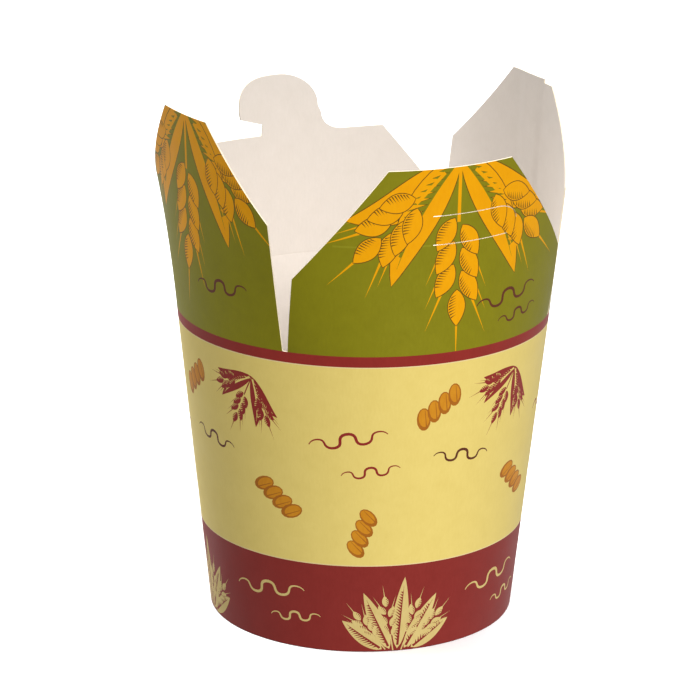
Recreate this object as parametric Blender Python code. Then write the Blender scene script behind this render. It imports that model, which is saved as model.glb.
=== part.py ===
"""A round-based folding paperboard noodle box, standing open: one conical wall on a recessed
base, and four closing flaps that stand up from the crease at the top of the wall. The front flap
has a pair of lock cuts and the back flap has the tongue that goes into them.
Metres, +Z up. The origin is on the table, at the middle of the base, and the front flap is at -Y."""

import math

import bmesh
import bpy
from mathutils import Vector
from mathutils.geometry import delaunay_2d_cdt

# Board and clearances
BOARD = 0.00045
GAP = 0.0003

# Conical wall
BASE_RADIUS = 0.045
FLARE = 0.1056
CREASE_Z = 0.0926
WALL_STEPS = 120

# Rolled-in foot and the recessed base that it grips
FOOT_RADIUS = 0.0003
HEM_TOP_Z = 0.0057
BASE_TOP_Z = 0.00645
SKIRT_BOTTOM_Z = 0.00075
BEND_RADIUS = 0.0004

# Flaps: the slits between them stand at this angle from the middle of the two wide flaps
WIDE_HALF_ANGLE = math.radians(50.8)
NARROW_HALF_ANGLE = math.radians(39.2)
SLIT_HALF_WIDTH = 0.0008
# The board flattens towards the free edge: growth of the bend radius for each metre of height
FLATTENING = 8.0
# The rear of the left flap leans out: its run for each metre of height at the far side, and how
# fast that dies away towards the near side
LEFT_SPLAY = 0.09
SPLAY_POWER = 3.0
# How far inside the board's chord the hinge line lies
HINGE_INSET = 0.0006

# Outlines on the flat board, measured from the middle of the crease
WIDE_SHOULDER = (0.0461, 0.0204)
WIDE_TOP = (0.0196, 0.0535)
BACK_TOP = (0.0316, 0.0386)
NARROW_SHOULDER = (0.0353, 0.0362)
NARROW_TOP = (0.0121, 0.0626)

# Side seam of the board, whose inner layer ends a little lower in one narrow flap
SEAM_X = -0.0054
SEAM_DROP = 0.0012
SEAM_TOP_X = -0.0106

# Tongue of the back flap
TONGUE_MIDDLE = (0.0022, 0.0465)
TONGUE_HALF_WIDTH = 0.0135
TONGUE_RISE = 0.0107
HOOK_SIDE_POWER = 3.0
PLAIN_SIDE_POWER = 2.0
HOOK_CORNER = (0.0152, 0.0443)
NECK_NOTCH = (0.0072, 0.0420)
NECK_ROOT_X = 0.0076
FILLET_START = (-0.0124, 0.0440)
FILLET_END_X = -0.0190

# Lock cuts of the front flap
CUT_WIDTH = 0.0005
UPPER_CUT_Y = 0.0399
LOWER_CUT_Y = 0.0316
CUT_LEFT_X = -0.0063
UPPER_CUT_STRAIGHT_X = 0.0150
UPPER_CUT_END = (0.0220, 0.0356)
LOWER_CUT_RIGHT_X = 0.0185

# Fineness of the meshes
GRID_ANGLE = math.radians(3.0)
GRID_ROW = 0.0075
EDGE_STEP = 0.0034
EDGE_MARGIN = 0.0011

CREAM = (0.80, 0.61, 0.18)
GREEN = (0.23, 0.21, 0.012)
WHITE_BOARD = (0.80, 0.74, 0.69)

CONE_ANGLE = math.atan(FLARE)
CREASE_RADIUS = BASE_RADIUS + FLARE * CREASE_Z
CREASE_SLANT = CREASE_RADIUS / math.sin(CONE_ANGLE)


def clear_scene():
    for old in list(bpy.data.objects):
        bpy.data.objects.remove(old, do_unlink=True)


def board_material(name, colour, roughness):
    material = bpy.data.materials.new(name)
    material.use_nodes = True
    shader = material.node_tree.nodes["Principled BSDF"]
    shader.inputs["Base Color"].default_value = (*colour, 1.0)
    shader.inputs["Roughness"].default_value = roughness
    shader.inputs["Metallic"].default_value = 0.0
    return material


def finished_object(name, mesh_tool, material):
    """Turns a bmesh into a smooth-shaded object with one material."""
    mesh = bpy.data.meshes.new(name)
    mesh_tool.to_mesh(mesh)
    mesh_tool.free()
    mesh.materials.append(material)
    mesh.shade_smooth()
    mesh.set_sharp_from_angle(angle=math.radians(35))
    item = bpy.data.objects.new(name, mesh)
    bpy.context.scene.collection.objects.link(item)
    return item


def turned(name, profile, closed, material):
    """Spins a profile of (radius, height) points about the vertical axis."""
    tool = bmesh.new()
    points = [tool.verts.new((radius, 0.0, height)) for radius, height in profile]
    pairs = list(zip(points, points[1:]))
    if closed:
        pairs.append((points[-1], points[0]))
    edges = [tool.edges.new(pair) for pair in pairs]
    bmesh.ops.spin(
        tool,
        geom=points + edges,
        cent=(0, 0, 0),
        axis=(0, 0, 1),
        angle=2 * math.pi,
        steps=WALL_STEPS,
        use_merge=True,
    )
    bmesh.ops.remove_doubles(tool, verts=tool.verts[:], dist=1e-7)
    bmesh.ops.recalc_face_normals(tool, faces=tool.faces[:])
    return finished_object(name, tool, material)


def arc(centre, radius, start, end, count):
    """Points on an arc from one angle to another, both in degrees."""
    angles = [math.radians(start + (end - start) * i / count) for i in range(count + 1)]
    return [(centre[0] + radius * math.cos(a), centre[1] + radius * math.sin(a)) for a in angles]


def outer_radius(z):
    return BASE_RADIUS + FLARE * z


def make_wall(material):
    """The wall runs from the crease down to the table, turns in and ends as a hem inside."""
    top = CREASE_Z - GAP / 2
    hem_out = outer_radius(0) - 2 * BOARD - 2 * GAP
    hem_in = hem_out - BOARD
    profile = [(outer_radius(top), top), (outer_radius(top) - BOARD, top)]
    profile += [(outer_radius(BOARD) - BOARD, BOARD), (hem_out + FLARE * BOARD, BOARD)]
    profile += [(hem_out + FLARE * HEM_TOP_Z, HEM_TOP_Z), (hem_in + FLARE * HEM_TOP_Z, HEM_TOP_Z)]
    profile += arc((hem_in + FOOT_RADIUS, FOOT_RADIUS), FOOT_RADIUS, 180, 270, 2)
    profile += arc((BASE_RADIUS - FOOT_RADIUS, FOOT_RADIUS), FOOT_RADIUS, 270, 360, 3)
    return turned("wall", profile, True, material)


def make_base(material):
    """A disc with a turned-down skirt, which stands between the wall and its hem."""
    skirt_out = outer_radius(0) - BOARD - GAP
    skirt_in = skirt_out - BOARD
    under = BASE_TOP_Z - BOARD
    shoulder = outer_radius(BASE_TOP_Z) - BOARD - GAP - BEND_RADIUS
    profile = [(0.0, BASE_TOP_Z)]
    profile += arc((shoulder, BASE_TOP_Z - BEND_RADIUS), BEND_RADIUS, 90, 0, 3)
    profile += [
        (skirt_out + FLARE * SKIRT_BOTTOM_Z, SKIRT_BOTTOM_Z),
        (skirt_in + FLARE * SKIRT_BOTTOM_Z, SKIRT_BOTTOM_Z),
        (skirt_in + FLARE * under, under - BEND_RADIUS / 2),
        (skirt_in + FLARE * under - BEND_RADIUS / 2, under),
        (0.0, under),
    ]
    return turned("base", profile, False, material)


def on_cone(x, y):
    """A point of the flat board as the angle from the flap's middle and the height above the table."""
    slant = math.hypot(x, CREASE_SLANT + y)
    angle = math.atan2(x, CREASE_SLANT + y) / math.sin(CONE_ANGLE)
    return angle, (slant * math.sin(CONE_ANGLE) - BASE_RADIUS) / FLARE


def on_flat(angle, z):
    """The reverse of on_cone."""
    slant = outer_radius(z) / math.sin(CONE_ANGLE)
    turn = angle * math.sin(CONE_ANGLE)
    return slant * math.sin(turn), slant * math.cos(turn) - CREASE_SLANT


def bent_place(x, y, half_angle, splay):
    """Where a point of the flat board stands: x across the flap, -Y outwards, Z up."""
    angle, z = on_cone(x, y)
    radius = outer_radius(z)
    bend = radius * (1 + FLATTENING * (z - CREASE_Z))
    along = radius * angle / bend
    edge = radius * half_angle / bend
    out = radius * math.cos(half_angle) + bend * (math.cos(along) - math.cos(edge))
    far_side = NARROW_SHOULDER[0]
    share = max(0.0, (far_side - x) / (2 * far_side))
    out += splay * max(0.0, y) * share**SPLAY_POWER
    return Vector((bend * math.sin(along), -out, z))


def inner_place(x, y, half_angle, splay):
    """The point straight through the board from bent_place."""
    step = 1e-5
    shape = (half_angle, splay)
    across = bent_place(x + step, y, *shape) - bent_place(x - step, y, *shape)
    up = bent_place(x, y + step, *shape) - bent_place(x, y - step, *shape)
    return bent_place(x, y, *shape) - across.cross(up).normalized() * BOARD


def divided(points):
    """The closed outline with its long sides cut into short steps."""
    result = []
    for i, (x0, y0) in enumerate(points):
        x1, y1 = points[(i + 1) % len(points)]
        count = max(1, math.ceil(math.hypot(x1 - x0, y1 - y0) / EDGE_STEP))
        result += [(x0 + (x1 - x0) * k / count, y0 + (y1 - y0) * k / count) for k in range(count)]
    return result


def inside(x, y, outline):
    """Whether a point lies in a closed outline."""
    hit = False
    for i, (x0, y0) in enumerate(outline):
        x1, y1 = outline[i - 1]
        if (y0 > y) != (y1 > y) and x < x0 + (x1 - x0) * (y - y0) / (y1 - y0):
            hit = not hit
    return hit


def edge_distance(x, y, outline):
    """The distance from a point to the nearest side of a closed outline."""
    nearest = math.inf
    for i, (x0, y0) in enumerate(outline):
        x1, y1 = outline[i - 1]
        length = math.hypot(x1 - x0, y1 - y0)
        share = ((x - x0) * (x1 - x0) + (y - y0) * (y1 - y0)) / length**2
        share = min(1.0, max(0.0, share))
        nearest = min(nearest, math.hypot(x - x0 - share * (x1 - x0), y - y0 - share * (y1 - y0)))
    return nearest


def flat_triangles(outline, cuts):
    """Triangles over the outline, with the cuts left out and rows of points that follow the bend."""
    points = list(outline)
    edges = [(i, (i + 1) % len(outline)) for i in range(len(outline))]
    for cut in cuts:
        first = len(points)
        points += cut
        edges += [(first + i, first + (i + 1) % len(cut)) for i in range(len(cut))]
    highest = max(y for _, y in outline)
    for row in range(1, int(highest / GRID_ROW) + 1):
        for column in range(-17, 18):
            x, y = on_flat(column * GRID_ANGLE, CREASE_Z + row * GRID_ROW)
            if not inside(x, y, outline) or edge_distance(x, y, outline) < EDGE_MARGIN:
                continue
            if any(inside(x, y, cut) or edge_distance(x, y, cut) < EDGE_MARGIN for cut in cuts):
                continue
            points.append((x, y))
    flat = [Vector(point) for point in points]
    verts, _, faces, _, _, _ = delaunay_2d_cdt(flat, edges, [], 1, 1e-7)
    kept = []
    for face in faces:
        middle = sum((verts[i] for i in face), Vector((0.0, 0.0))) / len(face)
        if not any(inside(middle.x, middle.y, cut) for cut in cuts):
            kept.append(face)
    return verts, kept


def make_flap(name, outline, cuts, half_angle, azimuth, material, splay=0.0):
    """Bends a flat outline, gives it the board's thickness, and stands it on its hinge line."""
    verts, faces = flat_triangles(divided(outline), cuts)
    hinge = Vector((0, HINGE_INSET - CREASE_RADIUS * math.cos(half_angle), CREASE_Z))
    tool = bmesh.new()
    outer = [tool.verts.new(bent_place(v.x, v.y, half_angle, splay) - hinge) for v in verts]
    inner = [tool.verts.new(inner_place(v.x, v.y, half_angle, splay) - hinge) for v in verts]
    sides = {}
    for face in faces:
        corners = list(face)
        a, b, c = (verts[i] for i in corners[:3])
        if (b - a).cross(c - a) < 0:
            corners.reverse()
        tool.faces.new([outer[i] for i in corners])
        tool.faces.new([inner[i] for i in reversed(corners)])
        for start, end in zip(corners, corners[1:] + corners[:1]):
            if (end, start) in sides:
                del sides[(end, start)]
            else:
                sides[(start, end)] = True
    for start, end in sides:
        tool.faces.new([outer[end], outer[start], inner[start], inner[end]])
    loose = [v for v in tool.verts if not v.link_faces]
    bmesh.ops.delete(tool, geom=loose, context="VERTS")
    flap = finished_object(name, tool, material)
    flap.rotation_euler.z = azimuth
    flap.location = (-hinge.y * math.sin(azimuth), hinge.y * math.cos(azimuth), hinge.z)
    return flap


def crease_edge(half_angle):
    """The lower edge of a flap, from its left slit to its right slit."""
    reach = half_angle - SLIT_HALF_WIDTH / CREASE_RADIUS
    whole = int(reach / GRID_ANGLE)
    angles = [-reach] + [i * GRID_ANGLE for i in range(-whole, whole + 1)] + [reach]
    return [on_flat(angle, CREASE_Z + GAP / 2) for angle in angles]


def mirrored(point):
    return (-point[0], point[1])


def front_outline():
    right = [WIDE_SHOULDER, WIDE_TOP]
    return crease_edge(WIDE_HALF_ANGLE) + right + [mirrored(p) for p in reversed(right)]


def left_outline():
    right = [NARROW_SHOULDER, NARROW_TOP]
    return crease_edge(NARROW_HALF_ANGLE) + right + [mirrored(p) for p in reversed(right)]


def right_outline():
    """The narrow flap with the side seam, where the free edge steps down."""
    low = NARROW_TOP[1] - SEAM_DROP
    seam = [(SEAM_X, NARROW_TOP[1]), (SEAM_X, low), (SEAM_TOP_X, low)]
    sides = [NARROW_SHOULDER, NARROW_TOP] + seam + [mirrored(NARROW_SHOULDER)]
    return crease_edge(NARROW_HALF_ANGLE) + sides


def tongue_head(count=18):
    """A rounded head, squarer on the side of its hook."""
    points = []
    for i in range(count + 1):
        across = math.cos(math.pi * i / count)
        power = HOOK_SIDE_POWER if across > 0 else PLAIN_SIDE_POWER
        rise = (1 - abs(across) ** power) ** (1 / power)
        middle_x, middle_y = TONGUE_MIDDLE
        points.append((middle_x + TONGUE_HALF_WIDTH * across, middle_y + TONGUE_RISE * rise))
    return points


def back_outline():
    """The wide flap cut lower, with the tongue on its free edge."""
    low = BACK_TOP[1]
    start_x, start_y = FILLET_START
    width = start_x - FILLET_END_X
    turns = [math.radians(15 * i) for i in range(7)]
    fillet = [
        (start_x - width * (1 - math.cos(t)), start_y - (start_y - low) * math.sin(t)) for t in turns
    ]
    tongue = [(NECK_ROOT_X, low), NECK_NOTCH, HOOK_CORNER] + tongue_head() + fillet
    sides = [WIDE_SHOULDER, BACK_TOP] + tongue + [mirrored(BACK_TOP), mirrored(WIDE_SHOULDER)]
    return crease_edge(WIDE_HALF_ANGLE) + sides


def cut_band(path):
    """A closed narrow band along an open path."""
    half = CUT_WIDTH / 2
    left, right = [], []
    for i, (x, y) in enumerate(path):
        x0, y0 = path[max(i - 1, 0)]
        x1, y1 = path[min(i + 1, len(path) - 1)]
        along = Vector((x1 - x0, y1 - y0)).normalized()
        left.append((x - along.y * half, y + along.x * half))
        right.append((x + along.y * half, y - along.x * half))
    return left + right[::-1]


def lock_cuts():
    """Two cuts with a strap between them: the upper one curves down at its end."""
    straight = [CUT_LEFT_X + (UPPER_CUT_STRAIGHT_X - CUT_LEFT_X) * i / 6 for i in range(7)]
    upper = [(x, UPPER_CUT_Y) for x in straight]
    wide = UPPER_CUT_END[0] - UPPER_CUT_STRAIGHT_X
    drop = UPPER_CUT_Y - UPPER_CUT_END[1]
    for turn in (math.radians(angle) for angle in (22, 45, 68, 90)):
        across = UPPER_CUT_STRAIGHT_X + wide * math.sin(turn)
        upper.append((across, UPPER_CUT_Y - drop * (1 - math.cos(turn))))
    lower = [(CUT_LEFT_X + (LOWER_CUT_RIGHT_X - CUT_LEFT_X) * i / 7, LOWER_CUT_Y) for i in range(8)]
    return [cut_band(upper), cut_band(lower)]


clear_scene()
printed_cream = board_material("cream printed board", CREAM, 0.45)
printed_green = board_material("green printed board", GREEN, 0.42)
white_inside = board_material("white coated board", WHITE_BOARD, 0.55)

make_wall(printed_cream)
make_base(white_inside)
make_flap("flap_front", front_outline(), lock_cuts(), WIDE_HALF_ANGLE, 0.0, printed_green)
make_flap("flap_right", right_outline(), [], NARROW_HALF_ANGLE, math.pi / 2, printed_green)
make_flap("flap_back", back_outline(), [], WIDE_HALF_ANGLE, math.pi, printed_green)
left_place = (NARROW_HALF_ANGLE, -math.pi / 2, printed_green)
make_flap("flap_left", left_outline(), [], *left_place, splay=LEFT_SPLAY)
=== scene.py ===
"""A round-based paperboard noodle box, standing open and empty, with a plain generic print of
wheat ears, leaf blades and pasta shapes in bands of green, dark red and cream."""

import math

import bpy
from mathutils import Matrix, Vector
from mathutils.geometry import delaunay_2d_cdt


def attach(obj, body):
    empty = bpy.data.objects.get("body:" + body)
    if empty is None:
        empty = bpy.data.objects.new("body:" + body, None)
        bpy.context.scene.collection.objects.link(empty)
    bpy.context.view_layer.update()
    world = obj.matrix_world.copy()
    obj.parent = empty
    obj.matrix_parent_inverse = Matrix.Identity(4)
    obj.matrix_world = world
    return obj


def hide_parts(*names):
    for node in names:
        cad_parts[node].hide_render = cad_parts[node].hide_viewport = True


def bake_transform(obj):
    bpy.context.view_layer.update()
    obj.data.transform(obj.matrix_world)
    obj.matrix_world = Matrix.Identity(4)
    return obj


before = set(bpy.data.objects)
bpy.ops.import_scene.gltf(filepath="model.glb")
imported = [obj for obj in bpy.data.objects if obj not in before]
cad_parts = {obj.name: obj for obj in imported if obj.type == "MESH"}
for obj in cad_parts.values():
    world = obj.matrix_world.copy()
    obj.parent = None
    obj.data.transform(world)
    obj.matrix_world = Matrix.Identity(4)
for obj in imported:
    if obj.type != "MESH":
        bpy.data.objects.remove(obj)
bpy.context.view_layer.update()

# Wall
# One sheet of white board, coated on both sides and printed outside in flat inks under a satin
# varnish, rolled into a cone. Its ends are lapped and glued under one narrow flap, and its lower
# edge is turned in round the skirt of the base to make the foot. Sizes are in millimetres.
BOARD = 0.45
GAP = 0.3
BASE_RADIUS = 45.0
FLARE = 0.1056
CREASE_Z = 92.6
CREASE_RADIUS = BASE_RADIUS + FLARE * CREASE_Z
WALL_STEPS = 120
# The borders of the printed bands, and the bend radius and height of the turned-in foot.
STRIPE_BOTTOM = 89.4
BAND_TOP = 27.55
HAIRLINE = 0.3
FOOT = 0.3
HEM_TOP = 5.7
# The seam, in the right flap's own x: its cut edge outside, the step there and the way back to
# the cone, and inside the ridge of the under layer, which is pared thin along its edge.
SEAM_X = 4.0
SEAM_STEP = 0.03
SEAM_DEPTH = 0.36
SEAM_RETURN = 4.5
SEAM_RIDGE = 0.42
FOOT_RIDGE = 0.26
LAP_WIDTH = 9.4
LAP_TAPER = 3.5
# No side of a printed shape is longer than this, so that the print bends with the board.
LONGEST_SIDE = 3.0
wall_length = 2 * math.pi * CREASE_RADIUS
seam_angle = math.pi / 2 + SEAM_X / CREASE_RADIUS
seam_start = seam_angle * CREASE_RADIUS


def linear(red, green, blue):
    """A colour as it looks on a screen, 0 to 255, as the shader wants it."""
    parts = [c / 255 for c in (red, green, blue)]
    parts = [p / 12.92 if p <= 0.04045 else ((p + 0.055) / 1.055) ** 2.4 for p in parts]
    return (*parts, 1.0)


def finish_group():
    """The surface of coated board: fibres, cloudy ink and the unevenness of the varnish."""
    group = bpy.data.node_groups.new("coated board finish", "ShaderNodeTree")
    place = group.interface.new_socket("Place", in_out="INPUT", socket_type="NodeSocketVector")
    place.description = "place on the board in metres"
    for name in ("Cloud", "Roughness", "Relief"):
        group.interface.new_socket(name, in_out="OUTPUT", socket_type="NodeSocketFloat")
    nodes, links = group.nodes, group.links
    source = nodes.new("NodeGroupInput")
    result = nodes.new("NodeGroupOutput")

    def noise(place, scale, detail, roughness):
        node = nodes.new("ShaderNodeTexNoise")
        node.inputs["Scale"].default_value = scale
        node.inputs["Detail"].default_value = detail
        node.inputs["Roughness"].default_value = roughness
        links.new(place, node.inputs["Vector"])
        return node.outputs["Fac"]

    def ranged(value, low, high):
        node = nodes.new("ShaderNodeMapRange")
        node.inputs["From Min"].default_value = 0.3
        node.inputs["From Max"].default_value = 0.7
        node.inputs["To Min"].default_value = low
        node.inputs["To Max"].default_value = high
        links.new(value, node.inputs["Value"])
        return node.outputs["Result"]

    def added(first, second):
        node = nodes.new("ShaderNodeMath")
        node.operation = "ADD"
        links.new(first, node.inputs[0])
        links.new(second, node.inputs[1])
        return node.outputs["Value"]

    stretch = nodes.new("ShaderNodeMapping")
    stretch.inputs["Scale"].default_value = (1.0, 0.28, 1.0)
    links.new(source.outputs["Place"], stretch.inputs["Vector"])
    fibres = noise(stretch.outputs["Vector"], 1500, 4, 0.62)
    clouds = noise(source.outputs["Place"], 170, 5, 0.6)
    waves = noise(source.outputs["Place"], 45, 2, 0.5)
    links.new(added(ranged(fibres, 0.0, 0.45), ranged(clouds, 0.0, 0.55)), result.inputs["Cloud"])
    links.new(added(ranged(fibres, 0.38, 0.46), ranged(waves, -0.03, 0.06)), result.inputs["Roughness"])
    links.new(added(ranged(fibres, 0.0, 0.35), ranged(waves, 0.0, 1.0)), result.inputs["Relief"])
    return group


board_finish = finish_group()
board_map = "board"


def board_surface(name, light, dark, gloss=0.25, on_map=True):
    """One ink, or the bare coated board, with the shared finish of the sheet."""
    material = bpy.data.materials.new(name)
    material.use_nodes = True
    nodes, links = material.node_tree.nodes, material.node_tree.links
    shader = nodes["Principled BSDF"]
    if on_map:
        place = nodes.new("ShaderNodeUVMap")
        place.uv_map = board_map
        where = place.outputs["UV"]
    else:
        where = nodes.new("ShaderNodeTexCoord").outputs["Object"]
    finish = nodes.new("ShaderNodeGroup")
    finish.node_tree = board_finish
    links.new(where, finish.inputs["Place"])
    mix = nodes.new("ShaderNodeMix")
    mix.data_type = "RGBA"
    mix.inputs["A"].default_value = linear(*dark)
    mix.inputs["B"].default_value = linear(*light)
    links.new(finish.outputs["Cloud"], mix.inputs["Factor"])
    links.new(mix.outputs["Result"], shader.inputs["Base Color"])
    links.new(finish.outputs["Roughness"], shader.inputs["Roughness"])
    bump = nodes.new("ShaderNodeBump")
    bump.inputs["Strength"].default_value = 0.35
    bump.inputs["Distance"].default_value = 0.00008
    links.new(finish.outputs["Relief"], bump.inputs["Height"])
    links.new(bump.outputs["Normal"], shader.inputs["Normal"])
    shader.inputs["Specular IOR Level"].default_value = gloss
    return material


inks = {
    "stripe": board_surface("dark red ink", (155, 48, 41), (143, 41, 35)),
    "cream": board_surface("cream ink", (250, 225, 130), (242, 216, 120), gloss=0.45),
    "hairline": board_surface("pale edge of the cream ink", (254, 230, 172), (248, 222, 160)),
    "red": board_surface("brick red ink", (148, 50, 44), (136, 42, 36)),
    "gold": board_surface("pale gold ink", (236, 212, 140), (222, 194, 120)),
    "amber": board_surface("amber ink", (228, 156, 40), (210, 134, 28)),
    "tan": board_surface("tan ink", (188, 116, 34), (170, 98, 26)),
    "brown": board_surface("brown ink", (104, 52, 30), (88, 42, 24)),
    "white": board_surface("white coated board", (213, 205, 197), (207, 199, 190), gloss=0.2),
    "edge": board_surface("cut edge of the board", (234, 223, 200), (217, 203, 176), gloss=0.1),
}


def outer_radius(z):
    """The radius of the cone's outside at a height above the table."""
    return BASE_RADIUS + FLARE * z


def smooth(t):
    """A soft step: 0 at 0 and below, 1 at 1 and above."""
    t = min(1.0, max(0.0, t))
    return t * t * (3 - 2 * t)


def counter_clockwise(outline):
    """The outline turned, where needed, so that its inside is at the left of its course."""
    area = sum(x0 * y1 - x1 * y0 for (x0, y0), (x1, y1) in zip(outline, outline[1:] + outline[:1]))
    return outline if area > 0 else outline[::-1]


def divided(points, step):
    """A line whose long sides are cut into short steps, without its last point."""
    result = []
    for (x0, y0), (x1, y1) in zip(points, points[1:]):
        count = max(1, math.ceil(math.hypot(x1 - x0, y1 - y0) / step))
        result += [(x0 + (x1 - x0) * k / count, y0 + (y1 - y0) * k / count) for k in range(count)]
    return result


def cut_flat(outline, holes, prints, extra):
    """Cuts the flat board into triangles along every printed edge.
    Returns the points, the triangles, and the ink of each triangle outside and inside."""
    tolerance = 1e-4
    shapes = [outline] + holes + [shape for shape, _ in prints]
    points, loops = [], []
    for shape in shapes:
        shape = counter_clockwise(shape)
        shape = divided(shape + shape[:1], LONGEST_SIDE)
        loops.append(list(range(len(points), len(points) + len(shape))))
        points += shape
    points = [Vector(p) for p in points + extra]
    verts, _, faces, _, _, origins = delaunay_2d_cdt(points, [], loops, 0, tolerance, True)
    first_print = 1 + len(holes)
    triangles, outside, inside = [], [], []
    for face, origin in zip(faces, origins):
        if 0 not in origin or any(0 < i < first_print for i in origin):
            continue
        a, b, c = (verts[i] for i in face)
        triangles.append(face if (b - a).cross(c - a) > 0 else face[::-1])
        drawn = [prints[i - first_print][1] for i in sorted(origin) if i >= first_print]
        outer = [ink for ink in drawn if not ink.startswith("inside ")]
        inner = [ink.removeprefix("inside ") for ink in drawn if ink.startswith("inside ")]
        outside.append(outer[-1])
        inside.append(inner[-1] if inner else "white")
    return verts, triangles, outside, inside


class Sheet:
    """The corners, faces, inks and surface directions of one closed piece of board.
    A face lies outside, inside or on a cut, and a bare face has no ink yet."""

    def __init__(self):
        self.points, self.flat = [], []
        self.faces, self.inks, self.sides, self.directions = [], [], [], []

    def add(self, point, spot=(0.0, 0.0)):
        self.points.append(point)
        self.flat.append(spot)
        return len(self.points) - 1

    def face(self, corners, ink, side="cut", directions=None):
        self.faces.append(corners)
        self.inks.append(ink)
        self.sides.append(side)
        self.directions.append(directions)

    def piece(self, name):
        """Welds corners that lie on each other and makes the object, in metres."""
        kept, points, place_of = {}, [], []
        for point in self.points:
            key = tuple(round(c, 4) for c in point)
            if key not in kept:
                kept[key] = len(points)
                points.append(Vector(point) / 1000)
            place_of.append(kept[key])
        whole = [k for k, f in enumerate(self.faces) if len({place_of[i] for i in f}) == len(f)]
        mesh = bpy.data.meshes.new(name)
        mesh.from_pydata(points, [], [[place_of[i] for i in self.faces[k]] for k in whole])
        used = [ink for ink in inks if ink in self.inks]
        for ink in used:
            mesh.materials.append(inks[ink])
        numbers = [used.index(self.inks[k]) if self.inks[k] else 0 for k in whole]
        mesh.polygons.foreach_set("material_index", numbers)
        mesh.polygons.foreach_set("use_smooth", [True] * len(whole))
        bare = mesh.attributes.new("bare", "BOOLEAN", "FACE")
        bare.data.foreach_set("value", [self.inks[k] is None for k in whole])
        side = mesh.attributes.new("side", "INT", "FACE")
        signs = {"inside": -1, "cut": 0, "outside": 1}
        side.data.foreach_set("value", [signs[self.sides[k]] for k in whole])
        layer = mesh.uv_layers.new(name=board_map)
        spots = [self.flat[i] for k in whole for i in self.faces[k]]
        layer.data.foreach_set("uv", [c / 1000 for spot in spots for c in spot])
        mesh.update()
        if any(self.directions):
            directions = []
            for polygon, k in zip(mesh.polygons, whole):
                given = self.directions[k]
                directions += given if given else [polygon.normal.copy()] * polygon.loop_total
            mesh.normals_split_custom_set(directions)
        item = bpy.data.objects.new(name, mesh)
        bpy.context.scene.collection.objects.link(item)
        return item


def roll_tree():
    """Rolls a flat sheet about the upright axis and closes it. On the flat sheet x runs along
    the crease, y is the distance from the axis, and z the height above the table."""
    tree = bpy.data.node_groups.new("roll about the axis", "GeometryNodeTree")
    tree.interface.new_socket("Flat sheet", in_out="INPUT", socket_type="NodeSocketGeometry")
    for name in ("Crease radius", "Weld distance"):
        tree.interface.new_socket(name, in_out="INPUT", socket_type="NodeSocketFloat")
    tree.interface.new_socket("Bare board", in_out="INPUT", socket_type="NodeSocketMaterial")
    tree.interface.new_socket("Rolled sheet", in_out="OUTPUT", socket_type="NodeSocketGeometry")
    nodes, links = tree.nodes, tree.links
    source = nodes.new("NodeGroupInput")
    result = nodes.new("NodeGroupOutput")

    def worked_out(operation, *values):
        node = nodes.new("ShaderNodeMath")
        node.operation = operation
        for value, socket in zip(values, node.inputs):
            if isinstance(value, float):
                socket.default_value = value
            else:
                links.new(value, socket)
        return node.outputs["Value"]

    flat = nodes.new("ShaderNodeSeparateXYZ")
    links.new(nodes.new("GeometryNodeInputPosition").outputs["Position"], flat.inputs["Vector"])
    angle = worked_out("DIVIDE", flat.outputs["X"], source.outputs["Crease radius"])
    forward = worked_out("MULTIPLY", flat.outputs["Y"], worked_out("COSINE", angle))
    place = nodes.new("ShaderNodeCombineXYZ")
    links.new(worked_out("MULTIPLY", flat.outputs["Y"], worked_out("SINE", angle)), place.inputs["X"])
    links.new(worked_out("MULTIPLY", forward, -1.0), place.inputs["Y"])
    links.new(flat.outputs["Z"], place.inputs["Z"])
    roll = nodes.new("GeometryNodeSetPosition")
    links.new(source.outputs["Flat sheet"], roll.inputs["Geometry"])
    links.new(place.outputs["Vector"], roll.inputs["Position"])
    weld = nodes.new("GeometryNodeMergeByDistance")
    links.new(roll.outputs["Geometry"], weld.inputs["Geometry"])
    links.new(source.outputs["Weld distance"], weld.inputs["Distance"])
    real = nodes.new("GeometryNodeRealizeInstances")
    links.new(weld.outputs["Geometry"], real.inputs["Geometry"])
    bare = nodes.new("GeometryNodeInputNamedAttribute")
    bare.data_type = "BOOLEAN"
    bare.inputs["Name"].default_value = "bare"
    board = nodes.new("GeometryNodeSetMaterial")
    links.new(real.outputs["Geometry"], board.inputs["Geometry"])
    links.new(bare.outputs["Attribute"], board.inputs["Selection"])
    links.new(source.outputs["Bare board"], board.inputs["Material"])
    links.new(board.outputs["Geometry"], result.inputs["Rolled sheet"])
    return tree


roll_about_axis = roll_tree()


def rolled(item, bare_board, crease_radius=CREASE_RADIUS / 1000, weld_distance=1e-6):
    """Rolls a flat piece, and shades it as the smooth cone that it stands for."""
    values = {"Crease radius": crease_radius, "Weld distance": weld_distance, "Bare board": bare_board}
    modifier = item.modifiers.new("roll", "NODES")
    modifier.node_group = roll_about_axis
    for name, value in values.items():
        modifier[roll_about_axis.interface.items_tree[name].identifier] = value
    seen = item.evaluated_get(bpy.context.evaluated_depsgraph_get())
    mesh = bpy.data.meshes.new_from_object(seen)
    item.modifiers.remove(modifier)
    item.data = mesh
    lean = math.atan(FLARE)
    directions = []
    for polygon, side in zip(mesh.polygons, mesh.attributes["side"].data):
        middle = Vector((polygon.center.x, polygon.center.y, 0)).normalized()
        for i in polygon.vertices:
            corner = mesh.vertices[i].co
            outward = Vector((corner.x, corner.y, 0))
            outward = outward.normalized() if outward.length > 1e-5 else middle
            if side.value:
                direction = side.value * (outward * math.cos(lean) - Vector((0, 0, math.sin(lean))))
            else:
                direction = middle.rotation_difference(outward) @ polygon.normal
            directions.append(direction)
    mesh.normals_split_custom_set(directions)
    return item


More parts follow.
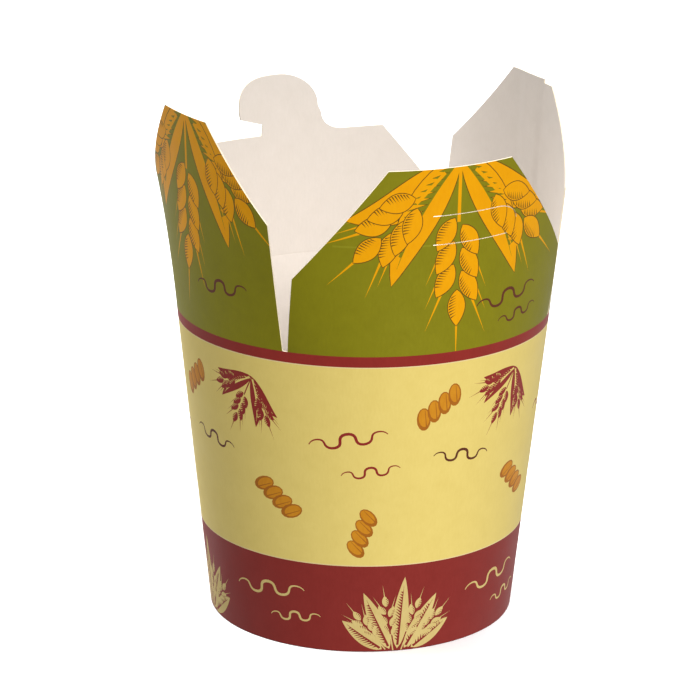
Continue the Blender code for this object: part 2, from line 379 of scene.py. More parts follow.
def carried(points, x, y, heading):
    """Turns an outline drawn along +x to a heading in degrees, and carries it to its place."""
    c, s = math.cos(math.radians(heading)), math.sin(math.radians(heading))
    return [(x + c * px - s * py, y + s * px + c * py) for px, py in points]


def swollen(outline, by):
    """The outline grown outwards, for a dark line round a printed shape."""
    ring = counter_clockwise(outline)
    grown = []
    for i, (x, y) in enumerate(ring):
        before, after = ring[i - 1], ring[(i + 1) % len(ring)]
        along = Vector((after[0] - before[0], after[1] - before[1])).normalized()
        grown.append((x + by * along.y, y - by * along.x))
    return grown


def outlined(outline, ink, shade, thickness=0.24):
    """A printed shape, over its dark outline where it has one."""
    return [(swollen(outline, thickness), shade), (outline, ink)] if shade else [(outline, ink)]


# Under 1, it puts the widest place of a blade nearer to its root than to its tip.
FULLNESS = 0.8


def blade_line(t, length, bow):
    """The bowed middle line of a blade, at a share t of its length."""
    return length * t, bow * length * 4 * t * (1 - t)


def half_width(t, width, fullness, bluntness=0.85):
    """Half the width of a leaf blade or a grain, at a share t of its length."""
    return width / 2 * math.sin(math.pi * t**fullness) ** bluntness


def blade(length, width, bow, steps=14, fullness=FULLNESS):
    """A leaf blade along +x, with its widest place nearer to the root."""
    upper, lower = [], []
    for i in range(steps + 1):
        t = i / steps
        px, py = blade_line(t, length, bow)
        slope = math.atan2(bow * 4 * (1 - 2 * t), 1)
        half = half_width(t, width, fullness) if 0 < t < 1 else 0
        upper.append((px - half * math.sin(slope), py + half * math.cos(slope)))
        lower.append((px + half * math.sin(slope), py - half * math.cos(slope)))
    return lower + upper[-2:0:-1]


def veined_blade(x, y, heading, length, width, bow, ink, field, shade=None, side=1):
    """A blade with its midrib and the veins of one half cut out in the colour of the field."""
    marks = outlined(carried(blade(length, width, bow), x, y, heading), ink, shade)
    rib_start, rib_reach, rib_steps = 0.05, 0.83, 10
    rib_root, rib_tip = 0.075 * width, 0.03
    shares = [i / rib_steps for i in range(rib_steps + 1)]
    middle = [blade_line(rib_start + rib_reach * share, length, bow) for share in shares]
    thick = [rib_root * (1 - share) + rib_tip for share in shares]
    rib = [(px, py - h) for (px, py), h in zip(middle, thick)]
    rib += [(px, py + h) for (px, py), h in reversed(list(zip(middle, thick)))]
    marks.append((carried(rib, x, y, heading), field))
    vein_start, vein_span, vein_length, vein_lead = 0.10, 0.70, 0.40 * width, 0.06
    vein_width, vein_gap, vein_slant, vein_outline = 0.17 * width, 0.28 * width, 0.95, 0.14
    count = max(4, round(length / vein_gap))
    for i in range(count):
        t = vein_start + vein_span * i / count
        px, py = blade_line(t, length, bow)
        # A vein ends short of the blade's edge, a little further along.
        reach = side * vein_length * math.sin(math.pi * (t + vein_lead) ** FULLNESS)
        vein = [(px, py), (px + vein_width, py), (px + vein_slant * abs(reach), py + reach)]
        marks += outlined(carried(vein, x, y, heading), field, shade, vein_outline)
    return marks


def grain(x, y, turn, length, ink, field, shade):
    """One pointed grain, with fine strokes that rise from its lower side."""
    width, fullness = 0.52 * length, 0.9
    shape = blade(length, width, bow=0, steps=12, fullness=fullness)
    marks = outlined(carried(shape, x, y, turn), ink, shade)
    strokes = 8 if shade else 4
    first_stroke, strokes_reach, stroke_width, stroke_lean = 0.20, 0.62, 0.36, 0.06
    root_low, root_lower, tip_low = 0.90, 0.93, 0.05
    for i in range(strokes):
        t = first_stroke + strokes_reach * i / strokes
        low = -half_width(t, width, fullness)
        past = t + stroke_width / strokes
        root = [(length * t, root_low * low), (length * past, root_lower * low)]
        tip = (length * (t - stroke_lean), tip_low * low)
        marks.append((carried(root + [tip], x, y, turn), shade or field))
    return marks


def wheat_ear(x, y, heading, length, size, ink, field, shade=None, pairs=3):
    """Two rows of pointed grains on a stem, a grain at the tip, and bristles from the grains."""
    stem_low, stem_high, stem_half = -0.6 * length, 0.1 * length, 0.05 * size
    stem = [(stem_low, -stem_half), (stem_high, -stem_half)]
    stem += [(stem_high, stem_half), (stem_low, stem_half)]
    marks = [(carried(stem, x, y, heading), ink)]
    top_grain, side_grains, first_grain = 0.92 * length, 0.84 * length, 0.05 * length
    row, stagger, spread = 0.12 * size, 0.09 * length, 30
    places = [(top_grain, 0, 0)]
    for i in range(pairs):
        along = first_grain + side_grains * i / pairs
        places.append((along + stagger, row, spread))
        places.append((along, -row, -spread))
    spots = []
    bristle_half, bristle_root, bristle_tip = 0.035 * size, 0.9 * size, 2.0 * size
    bristle = [(bristle_root, -bristle_half), (bristle_tip, 0), (bristle_root, bristle_half)]
    for px, py, turn in reversed(places):
        root_x, root_y = carried([(px, py)], x, y, heading)[0]
        spots.append((root_x, root_y, heading + turn))
        marks.append((carried(bristle, root_x, root_y, heading + 0.8 * turn), ink))
    for root_x, root_y, turn in spots:
        marks += grain(root_x, root_y, turn, size, ink, field, shade)
    return marks


def twisted_pasta(heading, length, width, turns=4, corners=14):
    """A short spiral: slanting lobes side by side, each light above and darker below."""
    marks = []
    pitch = length / turns
    lobe_half, slant = 0.62 * pitch, 0.32
    light_across, light_up, light_shift, light_rise = 0.74, 0.80, 0.25, 0.3
    for i in range(turns):
        middle = -length / 2 + pitch * (i + 0.5)
        lobe = []
        for k in range(corners):
            a = 2 * math.pi * k / corners
            py = width / 2 * math.sin(a)
            lobe.append((middle + lobe_half * math.cos(a) + slant * py, py))
        light = []
        for px, py in lobe:
            across = middle + (px - middle) * light_across + light_shift
            light.append((across, py * light_up + light_rise))
        fold = [(-0.20, -0.36), (-0.11, -0.38), (0.47, 0.31), (0.45, 0.34)]
        fold = [(middle + across * pitch, rise * width) for across, rise in fold]
        for shape, ink in ((lobe, "tan"), (light, "amber"), (fold, "tan")):
            marks.append((carried(shape, 0, 0, heading), ink))
    return marks


def noodle(x, y, heading, length, swing, thick, ink, waves=2.5, steps=45):
    """A loose length of noodle with round bends and tapered ends, widest in its middle."""
    roundness, end_swing, end_thick = 0.32, 0.5, 0.3
    middle = []
    for i in range(steps + 1):
        t = i / steps
        turn = 2 * math.pi * waves * t
        size = swing * (end_swing + (1 - end_swing) * math.sin(math.pi * t))
        middle.append((length * t - roundness * size * math.sin(2 * turn), size * math.sin(turn)))
    upper, lower = [], []
    for i, (px, py) in enumerate(middle):
        before, after = middle[max(i - 1, 0)], middle[min(i + 1, steps)]
        along = Vector((after[0] - before[0], after[1] - before[1])).normalized()
        half = thick / 2 * (end_thick + (1 - end_thick) * math.sin(math.pi * i / steps))
        upper.append((px - half * along.y, py + half * along.x))
        lower.append((px + half * along.y, py - half * along.x))
    return [(carried(lower + upper[::-1], x, y, heading), ink)]


def harvest_bunch(x, y, heading, size, ink, field, shade=None):
    """Ears and blades that spread out from one root, as the large print on the flaps."""
    marks = []
    width, root_gap, grain_length = 11 * size, 17 * size, 10.5 * size
    colours = (ink, field, shade)
    outer_blades = ((-64, 38, 0.09, 1), (60, 38, -0.09, -1))
    inner_blades = ((26, 43, 0.06, 1), (-31, 42, -0.06, -1))
    for turn, length, bow, side in outer_blades + inner_blades:
        marks += veined_blade(x, y, heading + turn, length * size, width, bow, *colours, side)
    for turn, length in ((-48, 17), (-3, 24), (44, 17)):
        ear_x, ear_y = carried([(root_gap, 0)], x, y, heading + turn)[0]
        marks += wheat_ear(ear_x, ear_y, heading + turn, length * size, grain_length, *colours)
    return marks


def on_wall(marks, angle, z):
    """Carries marks that are drawn about the origin to their place on the unrolled wall.
    The printer leaves out what would run across the glued seam."""
    margin = 0.5
    middle = math.radians(angle) % (2 * math.pi)
    if middle < seam_angle:
        middle += 2 * math.pi
    placed = []
    for shape, ink in marks:
        spots = [(CREASE_RADIUS * (middle + px / outer_radius(z + py)), z + py) for px, py in shape]
        placed.append((spots, ink))
    alongs = [along for spots, _ in placed for along, _ in spots]
    clear = min(alongs) > seam_start + margin and max(alongs) < seam_start + wall_length - margin
    return placed if clear else []


def foot_tuft():
    """Blades and ears that spread upwards from the foot, each as marks of its own."""
    tuft = []
    for lean, reach in ((-52, 15), (-24, 20), (4, 23), (30, 19), (56, 14)):
        tuft.append(veined_blade(0.08 * lean, 0.8, 90 - lean, reach, 4.6, 0.0, "gold", "red"))
    for lean, reach in ((-38, 8), (-10, 11), (18, 10), (43, 8)):
        tuft.append(wheat_ear(0.16 * lean, 4.5, 90 - lean, reach, 3.6, "gold", "red"))
    return tuft


def wall_print():
    """The fields of colour with the motifs on them, which come round four times."""
    beyond = 1
    left, right = seam_start - beyond, seam_start + wall_length + beyond
    fields = [
        (0.0, BAND_TOP, "red"),
        (BAND_TOP, BAND_TOP + HAIRLINE, "hairline"),
        (BAND_TOP + HAIRLINE, STRIPE_BOTTOM - HAIRLINE, "cream"),
        (STRIPE_BOTTOM - HAIRLINE, STRIPE_BOTTOM, "hairline"),
        (STRIPE_BOTTOM, CREASE_Z + beyond, "stripe"),
    ]
    marks = [([(left, low), (right, low), (right, high), (left, high)], ink) for low, high, ink in fields]
    on_cream = [
        (twisted_pasta(heading=35, length=15, width=6.5), -3, 76),
        (twisted_pasta(heading=-40, length=15, width=6.5), 34, 47),
        (twisted_pasta(heading=70, length=14, width=6), -27, 38),
        (harvest_bunch(0, 0, 245, 0.36, "stripe", "cream"), 27, 83),
        (noodle(-11, 3, heading=10, length=23, swing=2.0, thick=0.9, ink="stripe"), -32, 62),
        (noodle(-7, 0, heading=8, length=17, swing=1.5, thick=0.7, ink="stripe"), -26, 56),
        (noodle(-9, 3, heading=-6, length=19, swing=1.7, thick=0.8, ink="brown"), 6, 58),
    ]
    on_red = [(plant, -14, 0) for plant in foot_tuft()]
    on_red += [
        (noodle(-12, 0, heading=6, length=24, swing=2.0, thick=0.9, ink="gold"), 28, 16),
        (noodle(-6, 0, heading=6, length=16, swing=1.4, thick=0.7, ink="gold"), 36, 9),
    ]
    for quarter in range(4):
        for motif, turn, z in on_cream + on_red:
            marks += on_wall(motif, 90 * quarter + turn, z)
    return marks


def seam_dip(along):
    """How far the outer face lies behind the lap, just past the cut edge of the seam."""
    past = along - seam_start
    if past < SEAM_STEP:
        return SEAM_DEPTH * past / SEAM_STEP
    return SEAM_DEPTH * (1 - smooth((past - SEAM_STEP) / SEAM_RETURN))


def seam_ridge(along):
    """The share of its full height that the ridge of the lap has inside, pared thin at its edge."""
    past = along - seam_start
    if past > wall_length / 2:
        past -= wall_length
    return smooth((past + LAP_WIDTH) / LAP_TAPER) * (1 - smooth((past - SEAM_STEP) / SEAM_RETURN))


def arc(across, up, start, end, radius, count=4):
    """Points on an arc from one angle to another, in degrees."""
    angles = [math.radians(start + (end - start) * k / count) for k in range(count + 1)]
    return [(across + radius * math.cos(a), up + radius * math.sin(a)) for a in angles]


def wall_sheet():
    """The unrolled wall: its printed outside, its inside, the crease and the turned-in foot."""
    row, row_count, step = 7.5, 12, wall_length / WALL_STEPS
    fine_step, fine_count, return_count, margin = 1.4, 10, 5, 0.5
    seam_end = seam_start + wall_length
    returns = range(1, return_count + 1)
    return_columns = [seam_start + SEAM_RETURN * k / return_count for k in returns]
    lap_columns = [seam_end - fine_step * (fine_count - k) for k in range(fine_count + 1)]
    wide_columns = [seam_start + step * k for k in range(2, WALL_STEPS)]
    wide_columns = [c for c in wide_columns if c < lap_columns[0] - margin]
    columns = [seam_start, seam_start + SEAM_STEP] + return_columns + wide_columns + lap_columns
    rows = [FOOT] + [row * k for k in range(1, row_count)] + [CREASE_Z]
    outline = [(c, FOOT) for c in columns] + [(seam_end, z) for z in rows[1:-1]]
    outline += [(c, CREASE_Z) for c in reversed(columns)] + [(seam_start, z) for z in reversed(rows[1:-1])]
    borders = [BAND_TOP, BAND_TOP + HAIRLINE, STRIPE_BOTTOM - HAIRLINE, STRIPE_BOTTOM]
    extra = [(c, z) for c in columns[1:-1] for z in rows[1:-1] + borders]
    verts, triangles, outside, inside = cut_flat(outline, [], wall_print(), extra)

    above_hem, ridge_rise = 8.0, 4.0
    inside_foot = 2 * BOARD
    tolerance = 1e-4

    def inner_height(z):
        if z > above_hem:
            return z
        return inside_foot + (z - FOOT) * (above_hem - inside_foot) / (above_hem - FOOT)

    def outer_point(along, z):
        return along, outer_radius(z) - seam_dip(along), z

    def inner_point(along, z):
        height = inner_height(z)
        ridge = FOOT_RIDGE + (SEAM_RIDGE - FOOT_RIDGE) * smooth((z - above_hem) / ridge_rise)
        return along, outer_radius(height) - BOARD - seam_ridge(along) * ridge, height

    sheet = Sheet()
    spots = {i: (verts[i].x, verts[i].y) for triangle in triangles for i in triangle}
    outer = {i: sheet.add(outer_point(*spot), spot) for i, spot in spots.items()}
    inner = {i: sheet.add(inner_point(*spot), spot) for i, spot in spots.items()}
    for triangle, ink, back in zip(triangles, outside, inside):
        if max(spots[i][0] for i in triangle) <= seam_start + SEAM_STEP + tolerance:
            sheet.face([outer[i] for i in triangle], None)
        else:
            sheet.face([outer[i] for i in triangle], ink, "outside")
        sheet.face([inner[i] for i in reversed(triangle)], back, "inside")

    def at_height(z):
        near = [i for i, spot in spots.items() if abs(spot[1] - z) < tolerance]
        return sorted(near, key=lambda i: spots[i][0])

    top, bottom = at_height(CREASE_Z), at_height(FOOT)
    for a, b in zip(top, top[1:]):
        sheet.face([outer[a], outer[b], inner[b], inner[a]], None)

    hem_out = BASE_RADIUS - 2 * BOARD - 2 * GAP
    hem_in = hem_out - BOARD
    printed_turn = arc(BASE_RADIUS - FOOT, FOOT, 0, -90, FOOT)[1:]
    printed_turn += arc(hem_in + FOOT, FOOT, -90, -180, FOOT)
    printed_turn.append((hem_in + FLARE * HEM_TOP, HEM_TOP))
    white_turn = [(hem_out + FLARE * HEM_TOP, HEM_TOP), (hem_out + FLARE * BOARD, BOARD)]
    white_turn.append((outer_radius(BOARD) - BOARD, BOARD))
    previous = [outer[i] for i in bottom]
    for k, (radius, z) in enumerate(printed_turn + white_turn):
        ring = []
        for i in bottom:
            along = spots[i][0]
            dip = seam_dip(along) if radius > BASE_RADIUS - FOOT else 0
            ring.append(sheet.add((along, radius - dip, z), (along, -z - radius + hem_in)))
        for j in range(len(bottom) - 1):
            ink = "red" if k < len(printed_turn) else "white"
            sheet.face([previous[j], ring[j], ring[j + 1], previous[j + 1]], ink)
        previous = ring
    for j in range(len(bottom) - 1):
        a, b = inner[bottom[j]], inner[bottom[j + 1]]
        sheet.face([previous[j], a, b, previous[j + 1]], "white")
    return sheet


wall = rolled(wall_sheet().piece("printed_wall"), inks["edge"])
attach(wall, "cup")
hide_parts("wall")


# Base
# A disc of the same white board, with its rim turned down into a skirt that stands in the fold
# of the wall's foot. The foot grips it, so the disc is held a little above the table.
BASE_TOP = 6.45
SKIRT_BOTTOM = 0.75
BASE_BEND = 0.4


def base_sheet():
    """The unrolled base: its turned profile from the middle of its top to the middle below."""
    under = BASE_TOP - BOARD
    skirt_out = BASE_RADIUS - BOARD - GAP
    skirt_in = skirt_out - BOARD
    shoulder = outer_radius(BASE_TOP) - BOARD - GAP - BASE_BEND
    flat_rings = 6
    flat_top = [(shoulder * k / flat_rings, BASE_TOP) for k in range(flat_rings)]
    profile = flat_top + arc(shoulder, BASE_TOP - BASE_BEND, 90, 0, BASE_BEND)
    profile.append((skirt_out + FLARE * SKIRT_BOTTOM, SKIRT_BOTTOM))
    profile.append((skirt_in + FLARE * SKIRT_BOTTOM, SKIRT_BOTTOM))
    profile.append((skirt_in + FLARE * under, under - BASE_BEND / 2))
    profile += [(skirt_in + FLARE * under - BASE_BEND / 2, under), (0.0, under)]
    alongs = [wall_length * k / WALL_STEPS for k in range(WALL_STEPS + 1)]
    sheet = Sheet()
    rings = []
    for radius, z in profile:
        rings.append([sheet.add((along, radius, z)) for along in alongs])
    for upper, lower in zip(rings, rings[1:]):
        for k in range(WALL_STEPS):
            sheet.face([upper[k], lower[k], lower[k + 1], upper[k + 1]], None)
    return sheet


base_board = board_surface(
    "white coated base", (213, 205, 197), (207, 199, 190), gloss=0.2, on_map=False
)
base = rolled(base_sheet().piece("white_base"), base_board)
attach(base, "cup")
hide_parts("base")


# Flaps
# The four closing flaps are one board with the wall and fold at the crease: two wide ones, the
# front one with a pair of lock cuts and the back one with a hooked tongue, and two narrow ones.
# Their outside is green with a large bunch of ears and blades, their inside bare coated board.
WIDE_HALF_ANGLE = math.radians(50.8)
NARROW_HALF_ANGLE = math.radians(39.2)
SLIT_HALF_WIDTH = 0.8
# How the board flattens towards the free edge, how far the rear of the left flap leans out, and
# the width of the pressed fold.
FLATTENING = 0.008
LEFT_SPLAY = 0.09
SPLAY_POWER = 3.0
# The inside of a flap is painted a little darker along its pressed fold, as painted shade, over this
# width.
FOLD_SHADE_WIDTH = 0.45
# The corners on the flat board: across from the flap's middle, and up from its crease.
CREASE_SLANT = CREASE_RADIUS / math.sin(math.atan(FLARE))
WIDE_SHOULDER = (46.1, 20.4)
WIDE_TOP = (19.6, 53.5)
BACK_TOP = (31.6, 38.6)
NARROW_SHOULDER = (35.3, 36.2)
NARROW_TOP = (12.1, 62.6)
LAP_TOP = 61.4
LAP_LEFT = SEAM_X - LAP_WIDTH
SINGLE_TOP = (10.6, LAP_TOP)
# The tongue: a round head with a hook at one side, and a hollow curve down to the flap.
TONGUE_MIDDLE = (2.2, 46.5)
TONGUE_HALF_WIDTH = 13.5
TONGUE_RISE = 10.7
HOOK_CORNER = (15.2, 44.3)
NECK_NOTCH = (7.2, 42.0)
NECK_ROOT_X = 7.6
HOLLOW_START = (-12.4, 44.0)
HOLLOW_END_X = -19.0
# The lock cuts, and the pressed lines that run on from them.
CUT_WIDTH = 0.22
UPPER_CUT_Y = 39.9
LOWER_CUT_Y = 31.6
CUT_LEFT_X = -6.3
UPPER_CUT_BEND_X = 15.0
UPPER_CUT_END = (22.0, 35.6)
LOWER_CUT_RIGHT_X = 18.5
PRESSED_WIDTH = 0.5
PRESSED_GAP = 0.54

inks["green"] = board_surface("green ink", (138, 132, 18), (128, 122, 12))
inks["ochre"] = board_surface("ochre ink", (246, 172, 0), (238, 160, 0))
inks["umber"] = board_surface("umber ink", (108, 74, 14), (96, 64, 10))
inks["scored"] = board_surface("pressed line in the green ink", (150, 146, 32), (138, 133, 24))
# The band inside along the crease of each flap: white board painted a little darker, as the shade of the
# pressed fold.
inks["fold"] = board_surface("pressed fold, painted darker as its shade", (211, 203, 194), (205, 196, 187), gloss=0.2)


def on_cone(x, y):
    """A point of the flat flap as the angle from its middle and the height above the table."""
    slant = math.hypot(x, CREASE_SLANT + y)
    lean = math.sin(math.atan(FLARE))
    return math.atan2(x, CREASE_SLANT + y) / lean, (slant * lean - BASE_RADIUS) / FLARE


def on_flat(angle, z):
    """The reverse of on_cone."""
    lean = math.sin(math.atan(FLARE))
    slant = outer_radius(z) / lean
    return slant * math.sin(angle * lean), slant * math.cos(angle * lean) - CREASE_SLANT


def bent_place(x, y, half_angle, splay=0.0):
    """Where a point of the flat flap stands: x across the flap, -Y outwards, Z up. The board
    flattens towards the free edge, and its far side can lean out."""
    angle, z = on_cone(x, y)
    radius = outer_radius(z)
    bend = radius * (1 + FLATTENING * (z - CREASE_Z))
    along = radius * angle / bend
    edge = radius * half_angle / bend
    out = radius * math.cos(half_angle) + bend * (math.cos(along) - math.cos(edge))
    far_side = NARROW_SHOULDER[0]
    share = max(0.0, (far_side - x) / (2 * far_side))
    out += splay * max(0.0, y) * share**SPLAY_POWER
    return Vector((bend * math.sin(along), -out, z))


def across_and_out(place, x, y):
    """The direction across the flap and the direction out of it, at a point of the flat board."""
    step = 0.01
    across = (place(x + step, y) - place(x - step, y)).normalized()
    upward = place(x, y + step) - place(x, y - step)
    return across, across.cross(upward).normalized()


def flap_outline(half_angle, right_side, left_side, steps=80):
    """The flat flap: its crease from left to right, then up the right side and down the left.
    The corners of the left side are given as if it were the right one."""
    reach = half_angle - SLIT_HALF_WIDTH / CREASE_RADIUS
    low = [on_flat(reach * (2 * k / steps - 1), CREASE_Z) for k in range(steps + 1)]
    return low + right_side + [(-x, y) for x, y in reversed(left_side)]


def tongue_side(head_steps=28, hollow_steps=8):
    """The free edge of the back flap from right to left, over the hooked tongue."""
    edge = [(NECK_ROOT_X, BACK_TOP[1]), NECK_NOTCH, HOOK_CORNER]
    middle_x, middle_y = TONGUE_MIDDLE
    for i in range(head_steps + 1):
        across = math.cos(math.pi * i / head_steps)
        power = 3.0 if across > 0 else 2.0
        rise = TONGUE_RISE * (1 - abs(across) ** power) ** (1 / power)
        edge.append((middle_x + TONGUE_HALF_WIDTH * across, middle_y + rise))
    start_x, start_y = HOLLOW_START
    for k in range(hollow_steps + 1):
        turn = math.radians(90 * k / hollow_steps)
        along = (start_x - HOLLOW_END_X) * (1 - math.cos(turn))
        edge.append((start_x - along, start_y - (start_y - BACK_TOP[1]) * math.sin(turn)))
    return edge


def band(path, width):
    """A closed narrow band along an open path."""
    left, right = [], []
    for i, (x, y) in enumerate(path):
        x0, y0 = path[max(i - 1, 0)]
        x1, y1 = path[min(i + 1, len(path) - 1)]
        along = Vector((x1 - x0, y1 - y0)).normalized() * width / 2
        left.append((x - along.y, y + along.x))
        right.append((x + along.y, y - along.x))
    return left + right[::-1]


def level_line(from_x, to_x, y, steps=8):
    """Points across the flat flap at one height."""
    return [(from_x + (to_x - from_x) * k / steps, y) for k in range(steps + 1)]


def lock_cuts():
    """Two cuts with a strap between them: the upper one curves down at its end."""
    upper = level_line(CUT_LEFT_X, UPPER_CUT_BEND_X, UPPER_CUT_Y)
    end_x, end_y = UPPER_CUT_END
    for turn in (math.radians(10 * k) for k in range(1, 10)):
        across = UPPER_CUT_BEND_X + (end_x - UPPER_CUT_BEND_X) * math.sin(turn)
        upper.append((across, UPPER_CUT_Y - (UPPER_CUT_Y - end_y) * (1 - math.cos(turn))))
    lower = level_line(CUT_LEFT_X, LOWER_CUT_RIGHT_X, LOWER_CUT_Y)
    return [band(upper, CUT_WIDTH), band(lower, CUT_WIDTH)]


def pressed_line(length, y):
    """A shallow line in the green side that runs on from a lock cut to the left."""
    start = CUT_LEFT_X - PRESSED_GAP
    return band(level_line(start, start - length, y), PRESSED_WIDTH), "scored"


def flat_prints(marks, highest, half_angle, lapped):
    """The inks of a flat flap: the green ground, the fold's painted shade inside, the marks, the cut lap.
    """
    reach, under, steps, past = 80, -5, 40, 1
    ground = [(-reach, under), (reach, under), (reach, highest), (-reach, highest)]
    # The fold inside: a band along the crease painted a little darker, as painted shade.
    line = [on_flat(half_angle * (2 * k / steps - 1), CREASE_Z + FOLD_SHADE_WIDTH) for k in range(steps + 1)]
    fold = [(-reach, under), (reach, under), (reach, line[-1][1])] + line[::-1] + [(-reach, line[0][1])]
    prints = [(ground, "green"), (fold, "inside fold")] + marks
    if lapped:
        left, right, top = LAP_LEFT - past, SEAM_X + SEAM_STEP, LAP_TOP + SEAM_STEP
        lap = [(SEAM_X, under), (SEAM_X, LAP_TOP), (left, LAP_TOP)]
        lap += [(left, top), (right, top), (right, under)]
        prints.append((lap, "edge"))
    return prints


def make_flap_piece(name, outline, holes, marks, half_angle, azimuth, lapped=False, splay=0.0):
    """A closing flap: cut and printed flat, and bent to its place."""
    highest = max(y for _, y in outline) + 5
    row_height, column_turn, columns = 4, 2, 26
    extra = []
    for row in range(1, int(highest / row_height)):
        for column in range(-columns, columns + 1):
            extra.append(on_flat(math.radians(column_turn * column), CREASE_Z + row_height * row))
    prints = flat_prints(marks, highest, half_angle, lapped)
    verts, triangles, outside, inside = cut_flat(outline, holes, prints, extra)

    def dip(x, y):
        """How far the outer face lies behind the lap, past its cut edges."""
        if not lapped or x < LAP_LEFT:
            return 0
        if x > SEAM_X + 1e-6:
            return SEAM_DEPTH * (1 - smooth((x - SEAM_X - SEAM_STEP) / SEAM_RETURN))
        return SEAM_DEPTH * smooth((y - LAP_TOP) / SEAM_STEP)

    def ridge(x):
        """How far the under layer of the lap stands proud inside."""
        if not lapped:
            return 0
        rise = smooth((x - LAP_LEFT) / LAP_TAPER)
        return SEAM_RIDGE * rise * (1 - smooth((x - SEAM_X - SEAM_STEP) / SEAM_RETURN))

    def place(x, y):
        return bent_place(x, y, half_angle, splay)

    spin = Matrix.Rotation(azimuth, 3, "Z")
    probe = 0.05
    sheet = Sheet()
    spots = [(v.x, v.y) for v in verts]
    outer, inner, fronts, backs = {}, {}, {}, {}
    for i in sorted({i for triangle in triangles for i in triangle}):
        x, y = spots[i]
        across, out = across_and_out(place, x, y)
        point = place(x, y)
        outer[i] = sheet.add(spin @ (point - out * dip(x, y)), spots[i])
        inner[i] = sheet.add(spin @ (point - out * (BOARD + ridge(x))), spots[i])
        slope = (dip(x + 2 * probe, y) - dip(x + probe, y)) / probe
        fronts[i] = spin @ (out + across * slope).normalized()
        slope = (ridge(x + probe) - ridge(x - probe)) / (2 * probe)
        backs[i] = spin @ (-out - across * slope).normalized()
    sides = set()
    for triangle, ink, back in zip(triangles, outside, inside):
        turned = triangle[::-1]
        if ink == "edge":
            sheet.face([outer[i] for i in triangle], ink)
        else:
            sheet.face([outer[i] for i in triangle], ink, "outside", [fronts[i] for i in triangle])
        sheet.face([inner[i] for i in turned], back, "inside", [backs[i] for i in turned])
        for start, end in zip(triangle, triangle[1:] + triangle[:1]):
            if (end, start) in sides:
                sides.remove((end, start))
            else:
                sides.add((start, end))
    for start, end in sorted(sides):
        sheet.face([outer[end], outer[start], inner[start], inner[end]], "edge")
    item = sheet.piece("printed_" + name)
    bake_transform(item)
    return item


front_flap = make_flap_piece(
    "front_flap",
    flap_outline(WIDE_HALF_ANGLE, [WIDE_SHOULDER, WIDE_TOP], [WIDE_SHOULDER, WIDE_TOP]),
    lock_cuts(),
    [pressed_line(28.8, UPPER_CUT_Y), pressed_line(28.0, LOWER_CUT_Y)]
    + harvest_bunch(2, 57, -88, 1.0, "ochre", "green", "umber")
    + noodle(8, 12, heading=4, length=24, swing=2.0, thick=0.9, ink="brown")
    + noodle(16, 6, heading=4, length=17, swing=1.4, thick=0.7, ink="brown"),
    WIDE_HALF_ANGLE,
    0.0,
)
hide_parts("flap_front")
right_flap = make_flap_piece(
    "right_flap",
    flap_outline(
        NARROW_HALF_ANGLE,
        [NARROW_SHOULDER, NARROW_TOP, (LAP_LEFT, NARROW_TOP[1]), (LAP_LEFT, LAP_TOP)],
        [NARROW_SHOULDER, SINGLE_TOP],
    ),
    [],
    harvest_bunch(-2, 66, -92, 1.0, "ochre", "green", "umber"),
    NARROW_HALF_ANGLE,
    math.pi / 2,
    lapped=True,
)
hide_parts("flap_right")
back_flap = make_flap_piece(
    "back_flap",
    flap_outline(WIDE_HALF_ANGLE, [WIDE_SHOULDER, BACK_TOP] + tongue_side(), [WIDE_SHOULDER, BACK_TOP]),
    [],
    harvest_bunch(2, 57, -88, 1.0, "ochre", "green", "umber")
    + noodle(8, 12, heading=4, length=24, swing=2.0, thick=0.9, ink="brown"),
    WIDE_HALF_ANGLE,
    math.pi,
)
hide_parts("flap_back")
left_flap = make_flap_piece(
    "left_flap",
    flap_outline(NARROW_HALF_ANGLE, [NARROW_SHOULDER, NARROW_TOP], [NARROW_SHOULDER, NARROW_TOP]),
    [],
    harvest_bunch(1, 66, -90, 1.0, "ochre", "green", "umber")
    + noodle(4, 14, heading=4, length=22, swing=2.0, thick=0.9, ink="brown"),
    NARROW_HALF_ANGLE,
    -math.pi / 2,
    splay=LEFT_SPLAY,
)
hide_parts("flap_left")


# Floor and light
# A plain white surface in a pale room. A soft main light stands in front, a wider one comes from
# above the rear left and a weak one from the rear right. The floor glows a little and throws no
# light back, so that it looks plain white and the left side of the box stays in half shade.
floor_reach = 6
floor_corners = [(x * floor_reach, y * floor_reach, 0) for x, y in ((-1, -1), (1, -1), (1, 1), (-1, 1))]
floor_mesh = bpy.data.meshes.new("floor")
floor_mesh.from_pydata(floor_corners, [], [(0, 1, 2, 3)])
floor = bpy.data.objects.new("floor", floor_mesh)
floor.visible_diffuse = False
floor.visible_glossy = False
bpy.context.scene.collection.objects.link(floor)
floor_paper = bpy.data.materials.new("white paper floor")
floor_paper.use_nodes = True
paper = floor_paper.node_tree.nodes["Principled BSDF"]
paper.inputs["Base Color"].default_value = (0.92, 0.92, 0.92, 1)
paper.inputs["Roughness"].default_value = 0.9
paper.inputs["Emission Color"].default_value = (1, 1, 1, 1)
paper.inputs["Emission Strength"].default_value = 0.12
floor_mesh.materials.append(floor_paper)


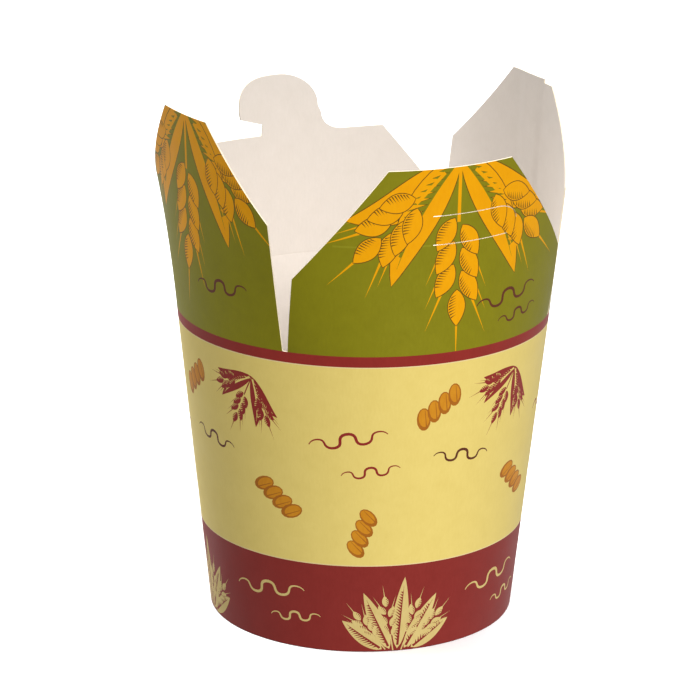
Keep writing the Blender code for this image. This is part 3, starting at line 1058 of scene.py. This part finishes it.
def soft_light(name, azimuth, height, spread, strength):
    """A distant soft light. Azimuth 0 is in front, 90 at the right; spread is its width in degrees."""
    light = bpy.data.lights.new(name, "SUN")
    light.angle = math.radians(spread)
    light.energy = strength
    lamp = bpy.data.objects.new(name, light)
    a, h = math.radians(azimuth), math.radians(height)
    away = Vector((math.sin(a) * math.cos(h), -math.cos(a) * math.cos(h), math.sin(h)))
    lamp.location = away
    lamp.rotation_euler = away.to_track_quat("Z", "Y").to_euler()
    bpy.context.scene.collection.objects.link(lamp)


soft_light("main light", azimuth=0, height=38, spread=25, strength=3.85)
soft_light("fill light", azimuth=-147, height=54, spread=50, strength=4.6)
soft_light("back light", azimuth=128, height=35, spread=50, strength=1.4)
world = bpy.data.worlds.new("pale room")
world.use_nodes = True
background = world.node_tree.nodes["Background"]
background.inputs["Color"].default_value = (1, 1, 1, 1)
# The varnish mirrors a paler room than the one that lights the board.
rays = world.node_tree.nodes.new("ShaderNodeLightPath")
paleness = world.node_tree.nodes.new("ShaderNodeMapRange")
paleness.inputs["To Min"].default_value = 0.05
paleness.inputs["To Max"].default_value = 0.6
world.node_tree.links.new(rays.outputs["Is Glossy Ray"], paleness.inputs["Value"])
world.node_tree.links.new(paleness.outputs["Result"], background.inputs["Strength"])
bpy.context.scene.world = world
bpy.context.scene.view_settings.view_transform = "Standard"


# Camera
# It stands a metre away, to the left of the front flap, and well above the free edges of the
# flaps, and looks down on the box through a long lens.
camera_turn = math.radians(-27.3)
camera_distance = 1.0
camera_height = 0.3929
# The box is framed a little off the middle, with the camera tipped by half a degree.
camera_heading = camera_turn + 0.0038
camera_pitch = 0.3056
camera_roll = 0.0088
right = Vector((math.cos(camera_heading), math.sin(camera_heading), 0))
forward = Vector((
    -math.sin(camera_heading) * math.cos(camera_pitch),
    math.cos(camera_heading) * math.cos(camera_pitch),
    -math.sin(camera_pitch),
))
up = right.cross(forward)
rolled_right = math.cos(camera_roll) * right + math.sin(camera_roll) * up
rolled_up = math.cos(camera_roll) * up - math.sin(camera_roll) * right
camera = bpy.data.objects.new("camera", bpy.data.cameras.new("camera"))
camera.data.sensor_width = 36
camera.data.lens = 182.93
camera.data.clip_start = 0.05
camera_place = Vector((math.sin(camera_turn), -math.cos(camera_turn), 0)) * camera_distance
camera_place.z = camera_height
turned = Matrix((rolled_right, rolled_up, -forward)).transposed().to_4x4()
camera.matrix_world = Matrix.Translation(camera_place) @ turned
bpy.context.scene.collection.objects.link(camera)
bpy.context.scene.camera = camera
